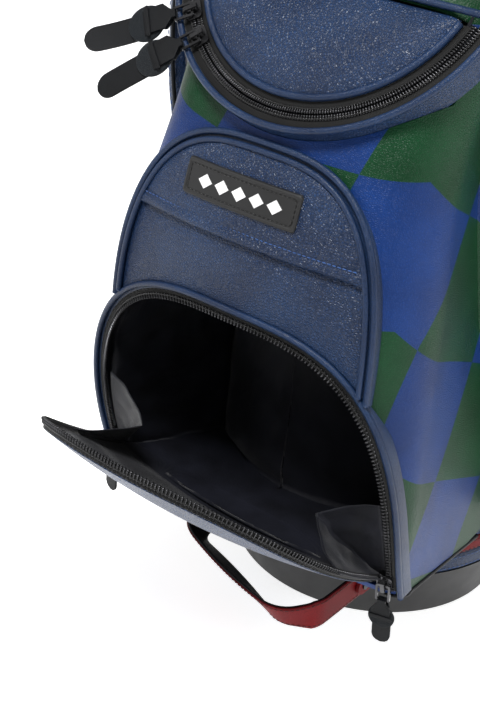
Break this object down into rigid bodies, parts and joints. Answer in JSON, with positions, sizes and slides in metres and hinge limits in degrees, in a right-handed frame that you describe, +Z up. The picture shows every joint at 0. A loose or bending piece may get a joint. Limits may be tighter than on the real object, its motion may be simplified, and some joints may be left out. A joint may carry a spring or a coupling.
{
  "type": "golf staff bag",
  "caption": "Tall cylindrical golf staff bag with an open zipped ball pocket, domed upper pocket, full-length side pocket, divided club mouth, strap and handles.",
  "frame": {"origin": "centre of the flat underside of the base, on the floor", "axes": "+Z up along the bag, -Y out of the front ball pocket, +X towards the full-length side pocket"},
  "size_m": [0.4148, 0.5748, 0.889],
  "materials": {
    "boot_black": "fine moulded grain",
    "foam_black": "felt",
    "tube_plastic": "satin",
    "checker_leather": "pebbled, blue and green squares",
    "navy_leather": "pebbled with a soft sheen",
    "red_leather": "fine grain",
    "lining_black": "plain weave nylon",
    "zip_black": "herringbone tape, satin teeth",
    "rubber_black": "matt",
    "slider_metal": "gunmetal",
    "puller_leather": "smooth face, suede back",
    "moulding_black": "moulded grain",
    "webbing_black": "woven webbing"
  },
  "bodies": {
    "bag": {"base_boot": "boot_black", "bottom_board": "foam_black", "body_tube": "tube_plastic", "body_skin": "checker_leather", "cuff_navy_bands": "navy_leather", "cuff_red_band": "red_leather", "pocket_shell": "checker_leather", "ball_pocket_lining": "lining_black", "ball_zip_body": "zip_black", "slip_pocket_lower_panel": "navy_leather", "slip_pocket_upper_panel": "navy_leather", "pocket_pipings": "navy_leather", "label_patch": "rubber_black", "dome_rim": "navy_leather", "dome_zip_body": "zip_black", "dome_pipings": "navy_leather", "side_pocket_shell": "checker_leather", "side_zip": "zip_black", "collar_pad": "navy_leather", "collar_rim": "moulding_black", "collar_handle": "moulding_black", "divider_frame": "moulding_black", "divider_bars": "moulding_black", "divider_sheets": "lining_black", "spine_pad": "navy_leather", "strap_tabs": "puller_leather", "strap_d_rings": "slider_metal", "strap_snap_hooks": "slider_metal", "carry_handle_mounts": "moulding_black", "lift_handle_tabs": "red_leather", "lift_handle_rivets": "slider_metal", "towel_ring_tab": "puller_leather", "umbrella_holders": "navy_leather"},
    "ball_flap": {"ball_flap_panel": "navy_leather", "ball_flap_lining": "lining_black", "ball_zip_flap": "zip_black", "ball_flap_gussets": "lining_black"},
    "ball_slider_left": {"ball_slider_left": "slider_metal"},
    "ball_puller_left": {"ball_puller_left_loop": "slider_metal", "ball_puller_left_leather": "puller_leather"},
    "ball_slider_right": {"ball_slider_right": "slider_metal"},
    "ball_puller_right": {"ball_puller_right_loop": "slider_metal", "ball_puller_right_leather": "puller_leather"},
    "dome_flap": {"dome_flap_panel": "navy_leather", "dome_flap_piping": "navy_leather", "dome_zip_flap": "zip_black"},
    "dome_slider_left": {"dome_slider_left": "slider_metal"},
    "dome_puller_left": {"dome_puller_left_loop": "slider_metal", "dome_puller_left_leather": "puller_leather"},
    "dome_slider_right": {"dome_slider_right": "slider_metal"},
    "dome_puller_right": {"dome_puller_right_loop": "slider_metal", "dome_puller_right_leather": "puller_leather"},
    "side_slider": {"side_slider": "slider_metal"},
    "side_puller": {"side_puller": "puller_leather"},
    "lift_handle": {"lift_handle_loop": "red_leather"},
    "carry_handle": {"carry_handle_grip": "navy_leather"},
    "shoulder_strap": {"strap_pad": "navy_leather", "strap_webbing": "webbing_black", "strap_swivels": "moulding_black"},
    "towel_ring": {"towel_ring": "slider_metal"}
  },
  "joints": [
    {"name": "ball_flap_hinge", "type": "hinge", "parent": "bag", "child": "ball_flap", "pos_m": [0, -0.2246, 0.1287], "axis": [1, 0, 0], "range_deg": [-42.06, 0], "deforming": ["ball_zip_flap", "ball_flap_gussets"]},
    {"name": "ball_slider_left_travel", "type": "slide", "parent": "bag", "child": "ball_slider_left", "axis": [0, -0.2909, 0.9568], "range_m": [0, 0.03]},
    {"name": "ball_puller_left_swing", "type": "hinge", "parent": "ball_slider_left", "child": "ball_puller_left", "pos_m": [-0.14531, -0.22413, 0.13831], "axis": [0.9742, -0.2161, -0.0657], "range_deg": [-120, 8]},
    {"name": "ball_slider_right_travel", "type": "slide", "parent": "bag", "child": "ball_slider_right", "axis": [0, -0.2909, 0.9568], "range_m": [0, 0.03]},
    {"name": "ball_puller_right_swing", "type": "hinge", "parent": "ball_slider_right", "child": "ball_puller_right", "pos_m": [0.14531, -0.22413, 0.13831], "axis": [0.9742, 0.2161, 0.0657], "range_deg": [-120, 8]},
    {"name": "dome_flap_hinge", "type": "hinge", "parent": "bag", "child": "dome_flap", "pos_m": [0, -0.1704, 0.5619], "axis": [-1, 0, 0], "range_deg": [0, 100], "deforming": ["dome_zip_flap"]},
    {"name": "dome_slider_left_travel", "type": "hinge", "parent": "bag", "child": "dome_slider_left", "pos_m": [0, -0.15512, 0.58312], "axis": [0, -0.8115, 0.5844], "range_deg": [-20, 1.5]},
    {"name": "dome_puller_left_swing", "type": "hinge", "parent": "dome_slider_left", "child": "dome_puller_left", "pos_m": [-0.10027, -0.20248, 0.52745], "axis": [0.5878, -0.4728, -0.6565], "range_deg": [-110, 0.5]},
    {"name": "dome_slider_right_travel", "type": "hinge", "parent": "bag", "child": "dome_slider_right", "pos_m": [0, -0.15512, 0.58312], "axis": [0, -0.8115, 0.5844], "range_deg": [-1.5, 108]},
    {"name": "dome_puller_right_swing", "type": "hinge", "parent": "dome_slider_right", "child": "dome_puller_right", "pos_m": [-0.08453, -0.21288, 0.51301], "axis": [0.7314, -0.3986, -0.5534], "range_deg": [-110, 0.5]},
    {"name": "side_slider_travel", "type": "slide", "parent": "bag", "child": "side_slider", "axis": [0, 0, -1], "range_m": [0, 0.43]},
    {"name": "side_puller_swing", "type": "hinge", "parent": "side_slider", "child": "side_puller", "pos_m": [0.1959, 0.008, 0.63], "axis": [0, 1, 0], "range_deg": [-120, 1]},
    {"name": "lift_handle_swing", "type": "hinge", "parent": "bag", "child": "lift_handle", "pos_m": [0, -0.1395, 0.056], "axis": [1, 0, 0], "range_deg": [-22, 0]},
    {"name": "carry_handle_swing", "type": "hinge", "parent": "bag", "child": "carry_handle", "pos_m": [-0.14201, -0.06926, 0], "axis": [0, 0, 1], "range_deg": [-21, 21]},
    {"name": "strap_swing", "type": "hinge", "parent": "bag", "child": "shoulder_strap", "pos_m": [-0.151, -0.07365, 0], "axis": [0, 0, 1], "range_deg": [-35, 12]},
    {"name": "towel_ring_swing", "type": "hinge", "parent": "bag", "child": "towel_ring", "pos_m": [0, -0.1586, 0.742], "axis": [1, 0, 0], "range_deg": [-100, 3]}
  ]
}
